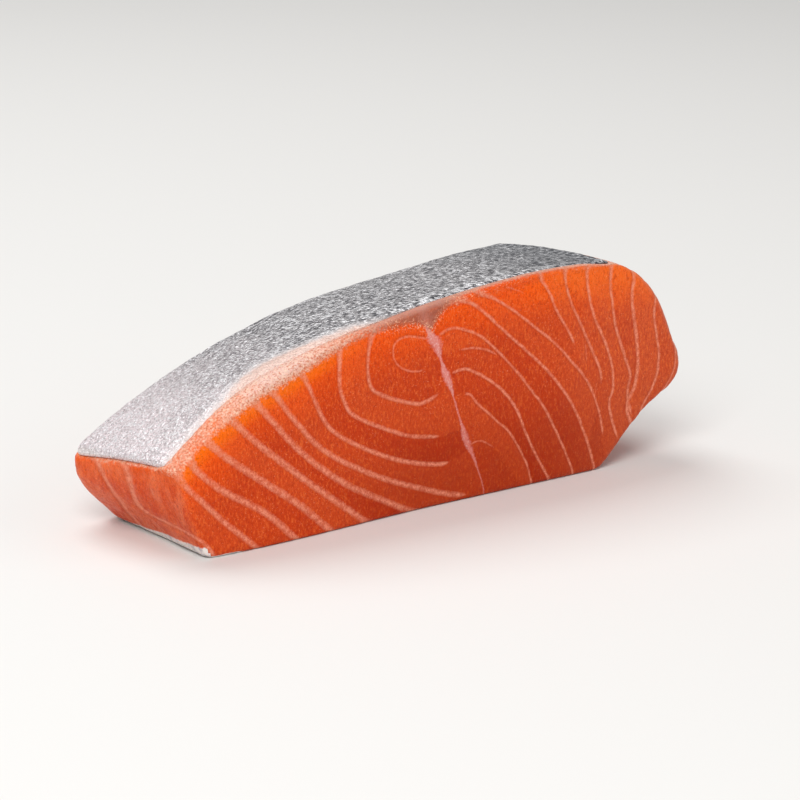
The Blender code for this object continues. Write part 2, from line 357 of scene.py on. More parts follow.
def points_of(piece):
    """The piece's corners in millimetres, one row each."""
    flat = np.empty(len(piece.data.vertices) * 3)
    piece.data.vertices.foreach_get("co", flat)
    return flat.reshape(-1, 3) / MM


def normals_of(piece):
    """The directions of the piece's corners, one row each."""
    flat = np.empty(len(piece.data.vertices) * 3)
    piece.data.vertices.foreach_get("normal", flat)
    return flat.reshape(-1, 3)


def place_points(piece, points):
    """Puts the piece's corners at points in millimetres."""
    piece.data.vertices.foreach_set("co", (points * MM).ravel())
    piece.data.update()


def store(piece, name, *columns):
    """Keeps three values at each corner of a piece for its material."""
    values = np.zeros((len(piece.data.vertices), 3))
    for i, column in enumerate(columns):
        values[:, i] = column
    piece.data.attributes.new(name, "FLOAT_VECTOR", "POINT").data.foreach_set("vector", values.ravel())


def rough(points, size, seed, octaves=3):
    """Soft noise from about -1 to 1, its bumps of one size in millimetres, or of one for each axis."""
    scaled = points / np.array(size) + seed * 17.0
    return np.array([noise.fractal(Vector(p), 0.7, 2.0, octaves) for p in scaled])


def smooth_path(points, pace=0.5):
    """Points along a smooth curve through the given ones, about a pace apart."""
    p = np.array([points[0], *points, points[-1]], float)
    out = []
    for a, b, c, d in zip(p, p[1:], p[2:], p[3:]):
        steps = max(2, int(np.hypot(*(c - b)) / pace))
        for t in np.arange(steps) / steps:
            bend = (2 * a - 5 * b + 4 * c - d) * t * t + (3 * b - a - 3 * c + d) * t**3
            out.append(0.5 * (2 * b + (c - a) * t + bend))
    out.append(p[-1])
    return np.array(out)


def run_on(line):
    """The line, carried on in its own direction if it leaves the slice through the underside."""
    (x0, z0), (x1, z1) = line[-2:]
    if z1 > 0.0:
        return line
    share = RUN_ON / np.hypot(x1 - x0, z1 - z0)
    return [*line, (x1 + (x1 - x0) * share, z1 + (z1 - z0) * share)]


def side_distance(points, path):
    """Each point's signed distance from a path, how far along it the nearest place is, and its length."""
    starts, runs = path[:-1], np.diff(path, axis=0)
    lengths = np.hypot(runs[:, 0], runs[:, 1])
    along = np.concatenate([[0.0], np.cumsum(lengths)])
    best = np.full(len(points), np.inf)
    signed, travel = np.zeros(len(points)), np.zeros(len(points))
    for start, run, length, before in zip(starts, runs, lengths, along):
        away = points - start
        t = np.clip(away @ run / length**2, 0.0, 1.0)
        miss = away - t[:, None] * run
        distance = np.hypot(miss[:, 0], miss[:, 1])
        closer = distance < best
        best[closer] = distance[closer]
        side = np.where(run[0] * away[:, 1] - run[1] * away[:, 0] >= 0, 1.0, -1.0)
        signed[closer] = (side * distance)[closer]
        travel[closer] = (before + t * length)[closer]
    return signed, travel, along[-1]


def front_edge(thing, slots=48):
    """The front edge of a flat-lying object: places along it, and how far forward it reaches there."""
    narrowest = 0.0022
    corners = np.array([v.co for v in thing.data.vertices])
    along = np.linspace(corners[:, 0].min(), corners[:, 0].max(), slots)
    half = 0.75 * (along[1] - along[0])
    fronts = []
    for x in along:
        near = np.abs(corners[:, 0] - x) < max(half, narrowest)
        fronts.append(corners[near, 1].min())
    return along, np.array(fronts)


class Septa:
    """Where septa cross the surface: three interleaved sets, so that no two lines of a set are close."""

    SETS = 3
    # How long a line's two ends fade, how far aside its width counts, and what stands where there is none
    START_FADE = 1.4
    END_FADE = 5.0
    REACH = 1.1
    NONE = -0.4
    FAR = 9.0

    def __init__(self, count):
        self.distance = np.full((self.SETS, count), self.FAR)
        self.width = np.full((self.SETS, count), self.NONE)
        self.tint = np.zeros(count)

    def add(self, chosen, flat, scale, lines, widths, seed):
        """Adds lines, for the chosen points only: flat says where these lie on the long cut face."""
        for i, (line, width) in enumerate(zip(lines, widths)):
            path = smooth_path(run_on(line))
            signed, travel, length = side_distance(flat, path)
            signed = signed / scale
            ends = np.minimum(travel / self.START_FADE, (length - travel) / self.END_FADE)
            half = mix(self.NONE, width, ease(ends + 0.15))
            which = i % self.SETS
            rows = np.flatnonzero(chosen)
            nearer = np.abs(signed) < np.abs(self.distance[which][rows])
            rows = rows[nearer]
            self.distance[which][rows] = signed[nearer]
            counts = np.abs(signed[nearer]) < self.REACH
            self.width[which][rows] = np.where(counts, half[nearer], self.NONE)
            beyond = np.flatnonzero(chosen)[signed > 0]
            self.tint[beyond] = sin(seed + i * 2.4)


def unfold(points, centre):
    """Where points inside the slice lie on the long cut face, and how much larger things are there."""
    scale = 1 + RINGS_CLOSE * (points[:, 1] - CUT_FACE_Y)
    middle = np.array(centre)
    return middle + (points[:, [0, 2]] - middle) * scale[:, None], scale


def colour_setting(name, description, default):
    """A colour that the panel shows."""
    return bpy.props.FloatVectorProperty(
        name=name, description=description, subtype="COLOR", size=3, default=default
    )


def length_setting(name, description, default):
    """A length in metres that the panel shows."""
    return bpy.props.FloatProperty(name=name, description=description, default=default, unit="LENGTH")


class FilletFleshSettings(bpy.types.PropertyGroup):
    """Settings of the muscle, the fat and the white lining"""

    grid: length_setting("Grid", "Width of the small faces that the cut surfaces are made of", 0.0005)
    septum_groove: length_setting("Septum Groove", "Depth of a septum between muscle blocks", 0.00010)
    unevenness: length_setting("Unevenness", "Height of the cut faces' slow waves", 0.00022)
    fat_grain: length_setting("Fat Grain", "Height of the crumbs on the cut fat", 0.00022)
    edge_colour: colour_setting("Edge Colour", "Muscle just under the fat", (0.90, 0.088, 0.000))
    muscle_colour: colour_setting("Muscle Colour", "Muscle inside the slice", (0.58, 0.048, 0.005))
    deep_colour: colour_setting("Deep Colour", "Muscle low down beside the seam", (0.36, 0.021, 0.001))
    septum_colour: colour_setting("Septum Colour", "Sheets between muscle blocks", (0.84, 0.29, 0.175))
    seam_colour: colour_setting("Seam Colour", "The sheet between belly and back", (0.74, 0.25, 0.215))
    fat_colour: colour_setting("Fat Colour", "The pale fat under the skin", (0.80, 0.40, 0.28))
    border_colour: colour_setting("Border Colour", "The fat close under the skin", (0.77, 0.54, 0.465))
    dark_fat_colour: colour_setting("Dark Fat Colour", "The dark fat above the seam", (0.38, 0.082, 0.040))
    film_colour: colour_setting("Film Colour", "The white lining of the belly", (0.85, 0.78, 0.74))


class FilletSkinSettings(bpy.types.PropertyGroup):
    """Settings of the skin"""

    ripple_height: length_setting("Ripple Height", "Height of the fine folds along the skin", 0.00006)
    ripple_pace: length_setting("Ripple Pace", "Distance from one fold to the next", 0.0017)
    belly_colour: colour_setting("Belly Colour", "Silver-white skin of the belly", (0.83, 0.71, 0.73))
    side_colour: colour_setting("Side Colour", "Grey skin of the side", (0.31, 0.285, 0.29))
    fat_colour: colour_setting("Fat Colour", "The fat at its front edge", (0.80, 0.40, 0.28))
    border_colour: colour_setting("Border Colour", "The fatty border beside the cut", (0.77, 0.54, 0.465))
    back_colour: colour_setting("Back Colour", "Dark skin of the back", (0.10, 0.11, 0.125))


class FilletStageSettings(bpy.types.PropertyGroup):
    """Settings of the camera and the floor"""

    azimuth: bpy.props.FloatProperty(
        name="Azimuth",
        description="Camera angle round the fillet",
        default=radians(-36),
        subtype="ANGLE",
    )
    elevation: bpy.props.FloatProperty(
        name="Elevation",
        description="Camera angle above the floor",
        default=radians(16),
        subtype="ANGLE",
    )
    distance: length_setting("Distance", "Camera distance from its target", 0.6)
    target: bpy.props.FloatVectorProperty(
        name="Target",
        description="Where the camera looks",
        default=(-0.003305, -0.008516, 0.01935),
        unit="LENGTH",
        size=3,
    )
    lens: bpy.props.FloatProperty(name="Lens", description="Focal length in millimetres", default=150.1)
    floor_colour: colour_setting("Floor Colour", "The pale floor", (0.80, 0.79, 0.77))


class Nodes:
    """Short ways to wire a material's nodes."""

    def __init__(self, name):
        self.material = bpy.data.materials.new(name)
        self.material.use_nodes = True
        self.tree = self.material.node_tree
        self.shader = self.tree.nodes["Principled BSDF"]

    def add(self, kind, inputs=None, **values):
        node = self.tree.nodes.new("ShaderNode" + kind)
        for key, value in values.items():
            setattr(node, key, value)
        self.fill(node, inputs or {})
        return node

    def fill(self, node, inputs):
        """Gives a node its inputs."""
        for key, value in inputs.items():
            self.give(node.inputs[key], value)

    def give(self, socket, value):
        """Links a socket to another one, or sets its value."""
        if isinstance(value, bpy.types.NodeSocket):
            self.tree.links.new(value, socket)
        elif socket.type == "RGBA":
            socket.default_value = (*value, 1.0)
        else:
            socket.default_value = value

    def math(self, operation, a, b=0.0, clamp=False):
        return self.add("Math", {0: a, 1: b}, operation=operation, use_clamp=clamp).outputs[0]

    def plus(self, a, b):
        return self.math("ADD", a, b)

    def minus(self, a, b):
        return self.math("SUBTRACT", a, b)

    def times(self, a, b):
        return self.math("MULTIPLY", a, b)

    def larger(self, a, b):
        return self.math("MAXIMUM", a, b)

    def unsigned(self, a):
        return self.math("ABSOLUTE", a)

    def ramp(self, value, low, high, start=0.0, end=1.0):
        """A smooth step from start, where value is low, to end, where it is high."""
        inputs = {"Value": value, "From Min": low, "From Max": high, "To Min": start, "To Max": end}
        return self.add("MapRange", inputs, interpolation_type="SMOOTHSTEP").outputs["Result"]

    def blend(self, share, a, b):
        """The colour a where share is 0 and b where it is 1."""
        node = self.add("Mix", data_type="RGBA", blend_type="MIX")
        self.give(node.inputs["Factor"], share)
        self.give([s for s in node.inputs if s.name == "A" and s.type == "RGBA"][0], a)
        self.give([s for s in node.inputs if s.name == "B" and s.type == "RGBA"][0], b)
        return [s for s in node.outputs if s.type == "RGBA"][0]

    def millimetres(self, scale=(1.0, 1.0, 1.0), turn=0.0):
        """The place on the object in millimetres, seen turned about the upright axis, times scale."""
        coordinates = self.add("TexCoord").outputs["Object"]
        size = tuple(MM / s for s in scale)
        inputs = {"Vector": coordinates, "Rotation": (0.0, 0.0, turn), "Scale": size}
        return self.add("Mapping", inputs, vector_type="TEXTURE").outputs["Vector"]

    def noise(self, vector, scale, detail=2.0, roughness=0.5, distortion=0.0):
        inputs = {"Vector": vector, "Scale": scale, "Detail": detail, "Roughness": roughness}
        return self.add("TexNoise", {**inputs, "Distortion": distortion}).outputs["Fac"]

    def attribute(self, name):
        """The three values that a piece keeps under a name."""
        vector = self.add("Attribute", attribute_name=name).outputs["Vector"]
        parts = self.add("SeparateXYZ", {"Vector": vector})
        return parts.outputs["X"], parts.outputs["Y"], parts.outputs["Z"]

    def bump(self, height, distance):
        inputs = {"Height": height, "Distance": distance, "Strength": 1.0}
        return self.add("Bump", inputs).outputs["Normal"]


def fat_look(n, inward):
    """The mottled pale fat: crumbly where it meets the muscle, calmer and whiter close below the skin."""
    fine = n.noise(n.place, 2.6, 2.0, 0.7)
    colour = n.blend(n.ramp(inward, 0.3, 1.8), n.values.fat_colour, n.values.border_colour)
    spread = n.minus(n.noise(n.place, 2.1, 3.0, 0.7), n.times(inward, 0.07))
    flecks = n.times(n.ramp(spread, 0.44, 0.54), n.ramp(inward, 1.7, 0.3, 0.0, 0.6))
    colour = n.blend(flecks, colour, FAT_FLECK)
    crumbs = n.times(n.ramp(fine, 0.46, 0.39), n.ramp(inward, 5.0, 0.8, 0.25, 1.0))
    colour = n.blend(n.times(crumbs, 0.70), colour, FAT_CRUMB)
    light = n.times(n.ramp(fine, 0.54, 0.61), n.ramp(inward, 5.0, 0.8, 0.30, 0.65))
    return n.blend(light, colour, FAT_LIGHT)


class FleshNodes(Nodes):
    """The nodes of the flesh, with what its parts share."""

    def __init__(self, values):
        super().__init__("salmon_flesh")
        self.values = values
        self.place = self.millimetres()
        self.x, _, self.z = self.add("SeparateXYZ", {"Vector": self.place}).outputs[:3]
        first, first_width, self.tint = self.attribute("septa_first")
        second, second_width, self.depth = self.attribute("septa_second")
        third, third_width, self.end_side = self.attribute("septa_third")
        self.septa = ((first, first_width), (second, second_width), (third, third_width))
        self.seam, self.seam_width, self.fat = self.attribute("seam_and_fat")
        self.film, self.dark, self.rim = self.attribute("film_and_rim")
        self.grain = self.noise(self.millimetres((1.0, 1.0, 0.5)), 2.3, 3.0, 0.65)
        self.fine = self.noise(self.millimetres((1.0, 1.0, 0.6)), 5.2, 2.0, 0.7)
        self.hollows = self.ramp(self.grain, 0.47, 0.33)
        self.crumbs = self.minus(self.noise(self.place, 2.0, 3.0, 0.75), 0.5)
        self.waver = self.times(self.minus(self.noise(self.place, 0.8, 3.0, 0.6), 0.5), 0.60)
        crumbly = self.times(self.crumbs, self.ramp(self.x, 10.0, -20.0, 1.2, 3.2))
        self.fat_share = self.ramp(self.plus(self.fat, crumbly), -0.5, 0.6)


def muscle(n):
    """Bright under the fat, deep red low down beside the seam, browner towards the back end."""
    slow = n.noise(n.place, 0.12, 2.0)
    inside = n.ramp(n.plus(n.depth, n.times(slow, 5.0)), 3.5, 15.0)
    colour = n.blend(inside, n.values.edge_colour, n.values.muscle_colour)
    along = n.times(n.ramp(n.x, -34.0, 2.0), n.ramp(n.x, 54.0, 26.0, 0.6, 1.0))
    low = n.times(n.ramp(n.z, 26.0, 3.0), along)
    colour = n.blend(n.times(low, 0.92), colour, n.values.deep_colour)
    colour = n.blend(n.times(n.ramp(n.tint, -1.0, 1.0), 0.22), colour, LIGHTER_BLOCK)
    colour = n.blend(n.times(n.ramp(n.x, 20.0, 50.0), 0.35), colour, BROWNER_BACK)
    patchy = n.ramp(n.noise(n.millimetres((1.0, 1.0, 0.5)), 0.35, 3.0, 0.6), 0.35, 0.65)
    end_face = n.blend(patchy, END_FACE_DEEP, END_FACE_PALE)
    colour = n.blend(n.times(n.end_side, 0.62), colour, end_face)
    glow = n.times(n.ramp(n.fat, -3.6, -0.4), n.ramp(n.x, -10.0, -30.0))
    glow = n.times(glow, n.ramp(n.end_side, 0.0, 1.0, 0.82, 0.15))
    colour = n.blend(glow, colour, BELLY_GLOW)
    glow = n.times(n.ramp(n.depth, 9.0, 1.5), n.ramp(n.x, 14.0, 34.0, 0.0, 0.65))
    colour = n.blend(glow, colour, BACK_GLOW)
    return with_fibres(n, colour, low)


def with_fibres(n, colour, low):
    """The ends of the fibres: light specks, hollows, dark dots and painted wet glints, fainter low down."""
    specks = n.times(n.ramp(n.grain, 0.50, 0.66), n.ramp(low, 0.0, 0.9, 0.34, 0.15))
    colour = n.blend(specks, colour, FIBRE_SPECK)
    colour = n.blend(n.times(n.hollows, 0.42), colour, FIBRE_HOLLOW)
    colour = n.blend(n.times(n.ramp(n.fine, 0.44, 0.34), 0.45), colour, FIBRE_DOT)
    # Painted highlight: small bright glints of wetness on the fibre ends
    painted_glints = n.ramp(n.noise(n.place, 3.4, 2.0, 0.6), 0.64, 0.70)
    return n.blend(n.times(painted_glints, n.ramp(low, 0.0, 0.9, 0.32, 0.12)), colour, WET_PAINTED_GLINT)


def soft_line(n, distance, width, soft):
    """1 on a slightly wavering line where distance is 0, and 0 beyond its width, with a soft border."""
    wavering = n.unsigned(n.plus(distance, n.times(n.waver, 0.4)))
    reach = n.plus(wavering, n.times(n.waver, 0.35))
    inner = n.times(width, 1.0 - soft)
    outer = n.times(width, 1.0 + soft)
    border = n.larger(n.minus(outer, inner), 0.01)
    shape = n.math("DIVIDE", n.minus(outer, reach), border, clamp=True)
    return n.times(shape, n.ramp(width, 0.0, 0.27))


def septa_lines(n, aside, wider, soft):
    """The lines of all three sets as one, moved a little to the side and widened."""
    lines = []
    for distance, width in n.septa:
        lines.append(soft_line(n, n.plus(distance, aside), n.times(width, wider), soft))
    return n.larger(n.larger(lines[0], lines[1]), lines[2])


def with_septa(n, colour):
    """Milky septa, each with a painted shadow along one side."""
    # Painted shadow: a darker band set a little to one side of each septum
    painted_shadow = n.times(septa_lines(n, 0.28, 1.1, 0.8), 0.26)
    colour = n.blend(painted_shadow, colour, SEPTUM_PAINTED_SHADOW)
    clouds = n.ramp(n.noise(n.place, 1.3, 3.0, 0.6), 0.36, 0.60, 0.42, 0.96)
    milky = n.times(clouds, n.ramp(n.fine, 0.38, 0.56, 0.55, 1.0))
    share = n.times(septa_lines(n, 0.0, 1.0, 0.65), milky)
    return n.blend(share, colour, n.values.septum_colour)


def with_seam(n, colour):
    """The seam between belly and back, torn along its sides and fainter low down, with pale specks and
    painted highlights.
    """
    torn = n.times(n.minus(n.noise(n.place, 1.7, 3.0, 0.65), 0.5), 2.0)
    seam = soft_line(n, n.plus(n.seam, n.times(torn, n.seam_width)), n.seam_width, 0.5)
    share = n.times(seam, n.ramp(n.z, 8.0, 24.0, 0.62, 0.90))
    # Pale specks of the seam, partly painted highlights
    light = n.ramp(n.fine, 0.50, 0.66, 0.0, 0.6)
    return n.blend(share, colour, n.blend(light, n.values.seam_colour, SEAM_SPECK_AND_PAINTED_HIGHLIGHT))


def dark_fat(n):
    """The mottled brown fat above the seam, paler beside the seam and close under the skin."""
    colour = n.blend(n.times(n.hollows, 0.6), n.values.dark_fat_colour, DARK_FAT_HOLLOW)
    redder = n.ramp(n.noise(n.place, 0.9, 3.0, 0.6), 0.48, 0.66, 0.0, 0.55)
    colour = n.blend(redder, colour, DARK_FAT_RED)
    colour = n.blend(n.ramp(n.fine, 0.56, 0.64, 0.0, 0.3), colour, DARK_FAT_LIGHT)
    from_seam = n.unsigned(n.plus(n.seam, n.times(n.crumbs, 2.0)))
    colour = n.blend(n.ramp(from_seam, 2.0, 0.2, 0.0, 0.6), colour, DARK_FAT_SEAM)
    return n.blend(n.ramp(n.depth, 1.5, 0.8, 0.0, 0.75), colour, DARK_FAT_TOP)


def with_fat(n, colour):
    """The cut fat, with torn light specks along the dark part, and the pale rim of the back end."""
    pale = fat_look(n, n.fat)
    cut_fat = n.blend(n.times(n.dark, 0.92), pale, dark_fat(n))
    colour = n.blend(n.times(n.fat_share, 0.93), colour, cut_fat)
    torn = n.times(n.ramp(n.unsigned(n.fat), 1.5, 0.3), n.ramp(n.dark, 0.6, 1.0))
    specks = n.ramp(n.noise(n.place, 2.9, 2.0, 0.7), 0.56, 0.62, 0.0, 0.85)
    colour = n.blend(n.times(torn, specks), colour, TORN_SPECK)
    return n.blend(n.times(n.rim, 0.45), colour, n.values.fat_colour)


def with_film(n, colour):
    """The white lining along the lower edge of the belly end."""
    share = n.ramp(n.plus(n.film, n.times(n.crumbs, 0.9)), -0.2, 0.2)
    greyer = n.ramp(n.noise(n.millimetres((0.5, 1.0, 1.0)), 0.8, 2.0), 0.45, 0.65)
    return n.blend(share, colour, n.blend(greyer, n.values.film_colour, FILM_GREY))


def flesh_material(values):
    """Moist orange muscle with pale septa, a lilac seam, crumbly fat and the white lining of the belly."""
    n = FleshNodes(values)
    colour = with_septa(n, muscle(n))
    colour = with_film(n, with_fat(n, with_seam(n, colour)))
    fibres = n.plus(n.times(n.grain, 0.75), n.times(n.fine, 0.45))
    crumbs = n.times(n.times(n.crumbs, n.fat_share), 1.3)
    inputs = {
        "Base Color": colour,
        "Roughness": n.ramp(n.noise(n.place, 1.2, 3.0, 0.6), 0.35, 0.70, 0.30, 0.52),
        "Specular IOR Level": 0.10,
        "Subsurface Weight": 0.12,
        "Subsurface Radius": (1.0, 0.28, 0.12),
        "Subsurface Scale": 0.0012,
        "Normal": n.bump(n.plus(fibres, crumbs), 0.00012),
    }
    n.fill(n.shader, inputs)
    return n.material


class SkinNodes(Nodes):
    """The nodes of the skin, with what its parts share."""

    def __init__(self, values):
        super().__init__("salmon_skin")
        self.values = values
        self.place = self.millimetres()
        x = self.add("SeparateXYZ", {"Vector": self.place}).outputs["X"]
        self.border, self.folds, self.glint = self.attribute("border_and_folds")
        self.front, self.end, _ = self.attribute("edges")
        patches = self.times(self.minus(self.noise(self.place, 0.09, 3.0), 0.5), 22.0)
        self.along = self.plus(x, patches)
        self.fleck = self.noise(self.millimetres((0.50, 0.9, 1.0), SKIN_GRAIN), 1.5, 3.0, 0.65, 0.3)
        self.crisp = self.noise(self.millimetres((0.32, 1.0, 1.1), SKIN_GRAIN), 3.2, 2.0, 0.6, 0.25)
        ragged = self.times(self.minus(self.noise(self.place, 0.7, 3.0, 0.65), 0.5), 2.6)
        self.edge = self.plus(self.border, ragged)
        self.milk = self.ramp(self.edge, 2.2, -0.4, 0.0, 0.75)


def silver(n):
    """The skin's own tones from belly to back, with flecks and folds that are calmer on the belly; the
    white flecks are partly painted glints, and the folds carry painted highlights on their crests and
    painted shade in their furrows.
    """
    along = n.along
    busy = n.ramp(along, -50.0, -14.0, 0.22, 1.0)
    belly, side = n.values.belly_colour, n.values.side_colour
    colour = n.blend(n.ramp(along, -56.0, -18.0), belly, side)
    colour = n.blend(n.ramp(along, 6.0, 46.0), colour, n.values.back_colour)
    colour = n.blend(n.ramp(n.fleck, 0.54, 0.68, 0.0, 0.40), colour, FLECK_LIGHT)
    dark = n.times(n.ramp(n.fleck, 0.47, 0.34, 0.0, 0.50), busy)
    colour = n.blend(dark, colour, FLECK_DARK)
    calmer = n.ramp(along, 6.0, 46.0, 1.0, 0.55)
    # White flecks of the silver, partly painted glints
    white = n.times(n.ramp(n.crisp, 0.53, 0.59, 0.0, 0.92), calmer)
    colour = n.blend(white, colour, CRISP_WHITE_AND_PAINTED_GLINT)
    dark = n.times(n.ramp(n.crisp, 0.485, 0.43, 0.0, 0.94), busy)
    colour = n.blend(dark, colour, CRISP_DARK)
    colour = n.blend(n.times(n.glint, n.ramp(n.crisp, 0.46, 0.54)), colour, GLINT)
    # Painted highlight on the crests of the folds, and painted shade in their furrows
    colour = n.blend(n.ramp(n.folds, 0.10, 0.90, 0.0, 0.45), colour, FOLD_PAINTED_HIGHLIGHT)
    dark = n.times(n.ramp(n.folds, -0.10, -0.80, 0.0, 0.50), busy)
    return n.blend(dark, colour, FOLD_PAINTED_SHADE)


def skin_material(values):
    """Wet silver skin: white on the belly, grey on the side, dark blue-grey on the back."""
    n = SkinNodes(values)
    # Painted highlight along the skin's rim at the belly end
    colour = n.blend(n.ramp(n.end, 1.3, 0.3, 0.0, 0.75), silver(n), SKIN_RIM_PAINTED_HIGHLIGHT)
    colour = n.blend(n.milk, colour, SKIN_MILK)
    fat = fat_look(n, n.plus(n.front, 1.7))
    colour = n.blend(n.ramp(n.edge, 0.6, -1.2, 0.0, 0.97), colour, fat)
    inputs = {
        "Base Color": colour,
        "Metallic": n.times(n.minus(1.0, n.milk), 0.45),
        "Roughness": n.ramp(n.noise(n.place, 2.2, 2.0), 0.3, 0.7, 0.24, 0.44),
        "Coat Weight": 0.20,
        "Coat Roughness": 0.2,
        "Normal": n.bump(n.plus(n.fleck, n.times(n.crisp, 0.6)), 0.00045),
    }
    n.fill(n.shader, inputs)
    return n.material


class FleshSurface:
    """Where septa, seam, fat and film lie at each corner of the flesh, in millimetres, and its relief."""

    def __init__(self, piece):
        self.points, self.normals = points_of(piece), normals_of(piece)
        self.front_x, self.front_y = front_edge(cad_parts["skin"])
        self.x, self.y, self.z = self.points.T
        self.behind = self.y - np.interp(self.x * MM, self.front_x, self.front_y) / MM
        self.cut_side = ease((np.abs(self.normals[:, 1]) - 0.2) / 0.5)
        self.end_side = ease((-self.normals[:, 0] - 0.4) / 0.4)
        self.depth = self.depth_below_skin()
        self.fat = self.fat_reach()
        dark = np.interp(self.x, DARK_AT, DARK_SHARE)
        self.dark = dark * np.maximum(ease(1.5 - self.behind), self.cut_side)
        self.find_seam()
        self.find_septa()

    def depth_below_skin(self):
        """How deep each point lies below the skin's outer surface, or below its nearest edge."""
        skin = tree_of("skin")
        low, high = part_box("skin")
        inset, front_inset, pace, tries = 0.0012, 0.0004, 0.001, 8
        depth = []
        for x, y, z in self.points * MM:
            x = min(max(x, low.x + inset), high.x - inset)
            front = float(np.interp(x, self.front_x, self.front_y))
            y = min(max(y, front + front_inset), high.y - inset)
            inwards = pace if x < 0.0 else -pace
            for step in range(tries):
                above, down = Vector((x + step * inwards, y, 1.0)), Vector((0.0, 0.0, -1.0))
                place, normal, _, _ = skin.ray_cast(above, down)
                if place:
                    break
            depth.append((place.z - z) * normal.z / MM)
        return np.array(depth)

    def fat_reach(self):
        """How far each point lies inside the fat, or below 0 how far outside it."""
        edge = np.interp(self.x, FAT_AT, FAT_DEPTH)
        fat = mix(np.maximum(TOP_FAT, edge), edge, self.cut_side * (1 - self.end_side)) - self.depth
        fat = mix(fat, END_FAT - self.depth, self.end_side)
        return np.where(self.x > FAT_STOPS, NO_FAT, fat)

    def find_seam(self):
        """The distance from the seam between belly and back, and its half width."""
        self.seam, _, _ = side_distance(self.points[:, [0, 2]], smooth_path(SEAM))
        width = np.interp(self.z, SEAM_HEIGHTS, SEAM_WIDTHS)
        self.seam_width = np.where(np.abs(self.seam) < SEAM_REACH, width, Septa.NONE)

    def find_septa(self):
        """The septa, wider where they meet the fat and thinned out close to the seam."""
        points, seam = self.points, self.seam
        self.septa = Septa(len(points))
        rear = self.y > REAR_BEGINS
        rear_belly_septa = [*BELLY_SEPTA[:2], REAR_SEPTUM, *BELLY_SEPTA[3:]]
        for chosen, centre, lines, widths, seed in (
            ((seam <= 0) & ~rear, BELLY_CENTRE, BELLY_SEPTA, BELLY_WIDTHS, 0.0),
            ((seam <= 0) & rear, BELLY_CENTRE, rear_belly_septa, BELLY_WIDTHS, 0.0),
            (seam > 0, BACK_CENTRE, BACK_SEPTA, BACK_WIDTHS, 1.3),
        ):
            flat, scale = unfold(points[chosen], centre)
            self.septa.add(chosen, flat, scale, lines, widths, seed)
        widen = 1 + 1.1 * np.exp(-np.maximum(-self.fat, 0.0) / 1.2)
        clear_of_seam = ease((np.abs(seam) - 0.35) / 0.6)
        shown = widen * mix(0.2, 1.0, clear_of_seam)
        self.widths = [np.where(w > 0, w * shown, w) for w in self.septa.width]

    def belly_film(self):
        """How far inside the white film each point lies: a strip round the lower edge of the belly end."""
        rear_share = ease((self.y + 14.0) / 28.0)
        on_end = mix(*FILM_TALL, rear_share) - self.z
        below = mix(*FILM_WIDE, rear_share) - (self.x - FILM_FROM)
        below = np.where(self.normals[:, 2] < -0.6, below, -1.0)
        reach = np.where(self.normals[:, 0] < -0.35, on_end, below)
        return np.where(self.x < FILM_STOPS, reach, -2.0)

    def back_rim(self):
        """1 on the thin pale line along the rounded edge between the long cut face and the back end."""
        turn = np.exp(-(((self.normals[:, 0] - 0.62) / 0.26) ** 2)) * (self.normals[:, 1] < -0.2)
        return turn * (self.x > 30.0)

    def relief(self, values):
        """Slow waves, fibres, crumbs of fat, grooves along septa and seam, and a small step at a septum."""
        points, normals = self.points, self.normals
        groove = np.zeros(len(points))
        for distance, width in zip(self.septa.distance, self.widths):
            groove += np.exp(-((distance / 0.45) ** 2)) * (width > 0)
        groove = np.maximum(groove, np.exp(-((self.seam / 0.7) ** 2)) * (self.seam_width > 0))
        waves = rough(points, 9.0, 1) * values.unevenness / MM
        crumbs = rough(points, 1.1, 2, 2) * ease((self.fat + 0.3) / 0.9) * values.fat_grain / MM
        lift = waves + 0.045 * rough(points, 1.6, 3, 2) + crumbs - values.septum_groove / MM * groove
        lift += 0.05 * self.septa.tint
        under_skin = ease((normals[:, 2] - 0.6) / 0.3) * ease((2.6 - self.depth) / 1.0)
        return lift * (ease((self.z - 0.05) / 1.2) * (1 - under_skin))

    def rise_to_skin(self):
        """How far the fat before the skin rises, so that it meets the skin's front edge without a step."""
        x, facing_up = self.x, self.normals[:, 2]
        belly = ease((8.0 - x) / 20.0)
        before = ease((self.behind + 3.0) / 3.0)
        rise = np.where(self.behind < 0.0, before, 1 - ease(self.behind / mix(1.5, 3.8, belly)))
        rise *= np.interp(x, RISE_AT, RISE)
        return rise * (ease((facing_up - 0.15) / 0.35) * ease((41.0 - x) / 8.0))

    def apply(self, piece, values):
        """Moves the piece's corners and keeps what its material needs."""
        lift = self.relief(values) + self.rise_to_skin()
        place_points(piece, self.points + self.normals * lift[:, None])
        distance, widths = self.septa.distance, self.widths
        store(piece, "septa_first", distance[0], widths[0], self.septa.tint)
        store(piece, "septa_second", distance[1], widths[1], self.depth)
        store(piece, "septa_third", distance[2], widths[2], self.end_side)
        store(piece, "seam_and_fat", self.seam, self.seam_width, self.fat)
        store(piece, "film_and_rim", self.belly_film(), self.dark, self.back_rim())


class FILLET_OT_flesh(bpy.types.Operator):
    """Make the muscle with its septa, and the fat under the skin"""

    bl_idname = "fillet.flesh"
    bl_label = "Flesh and Fat"

    def execute(self, context):
        values = context.scene.fillet_flesh
        flesh, fat = copy_of("flesh", "salmon_flesh"), copy_of("fat_layer", "fat")
        let_down(fat, faces_facing(fat, tree_of("flesh"), FAT_GAP), FAT_OVERLAP)
        for piece in (flesh, fat):
            hold_flat_parts(piece)
            subdivide(piece, 2)
        select_only(flesh)
        fat.select_set(True)
        bpy.ops.object.join()
        even_out(flesh, values.grid)
        FleshSurface(flesh).apply(flesh, values)
        bpy.ops.object.shade_smooth()
        flesh.data.materials.append(flesh_material(values))
        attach(flesh, "root")
        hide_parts("flesh", "fat_layer")
        return {"FINISHED"}


